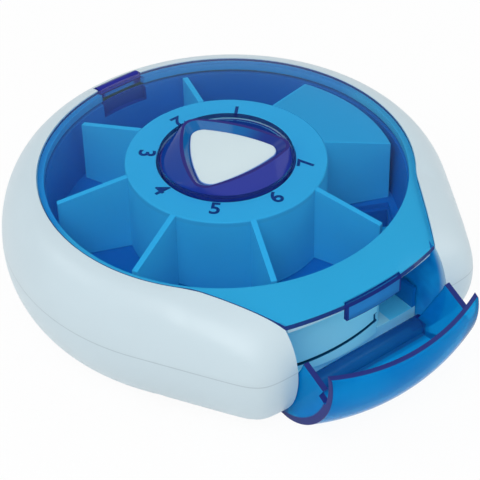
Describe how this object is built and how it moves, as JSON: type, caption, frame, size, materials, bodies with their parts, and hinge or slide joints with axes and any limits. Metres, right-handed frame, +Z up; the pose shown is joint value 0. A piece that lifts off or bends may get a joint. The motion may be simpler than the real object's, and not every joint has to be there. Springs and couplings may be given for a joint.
{
  "type": "automatic pill dispenser",
  "caption": "Round pill dispenser with a compartment rotor under a clear domed lid, a central push button that steps it, and a scoop-shaped dispensing door between the housing's horns.",
  "frame": {"origin": "on the rotor's axis, in the plane the base rests on", "axes": "+Z up, -Y towards the dispensing door, +X to the right when facing the door"},
  "size_m": [0.122, 0.1375, 0.041],
  "materials": {
    "shell": "satin white moulding",
    "inner_white": "satin pale moulding",
    "cup_blue": "saturated blue moulding",
    "clear_lid": "clear blue tint, polished",
    "door_blue": "clear deep blue tint, polished",
    "button_violet": "clear violet-blue tint, polished",
    "acetal": "natural acetal",
    "steel": "bright",
    "spring_steel": "bright wire"
  },
  "bodies": {
    "housing": {"upper_housing": "shell", "lower_housing": "shell", "inner_cup": "cup_blue", "pill_chute": "inner_white", "spindle": "acetal", "spindle_screws": "steel", "retaining_washer": "steel", "retaining_screw": "steel", "housing_screws": "steel", "lid_hinge_pin": "steel", "detent_ball": "steel", "detent_spring": "spring_steel", "return_spring": "spring_steel", "door_pin_left": "steel", "door_pin_right": "steel"},
    "rotor": {"tray": "inner_white", "dial_ring": "inner_white", "ratchet_ring": "acetal"},
    "button": {"push_button": "button_violet", "button_pad": "shell"},
    "cam": {"drive_cam": "acetal", "drive_pawls": "acetal"},
    "lid": {"lid": "clear_lid"},
    "door": {"door": "door_blue"}
  },
  "joints": [
    {"name": "rotor_spin", "type": "hinge", "parent": "housing", "child": "rotor", "pos_m": [0, 0, 0.015], "axis": [0, 0, -1], "continuous": true},
    {"name": "button_press", "type": "slide", "parent": "housing", "child": "button", "axis": [0, 0, -1], "range_m": [0, 0.0035], "stiffness_N_per_m": 400, "springref_m": -0.003, "deforming": ["return_spring"]},
    {"name": "cam_turn", "type": "hinge", "parent": "housing", "child": "cam", "pos_m": [0, 0, 0.018], "axis": [0, 0, -1], "range_deg": [0, 45]},
    {"name": "lid_open", "type": "hinge", "parent": "housing", "child": "lid", "pos_m": [0, 0.0509, 0.0351], "axis": [-1, 0, 0], "range_deg": [0, 80]},
    {"name": "door_swing", "type": "hinge", "parent": "housing", "child": "door", "pos_m": [0, -0.0525, 0.003], "axis": [1, 0, 0], "range_deg": [-31.5, 0]}
  ],
  "couplings": [
    {"joint": "cam_turn", "follows": "button_press", "rad_per_m": 224.4}
  ]
}
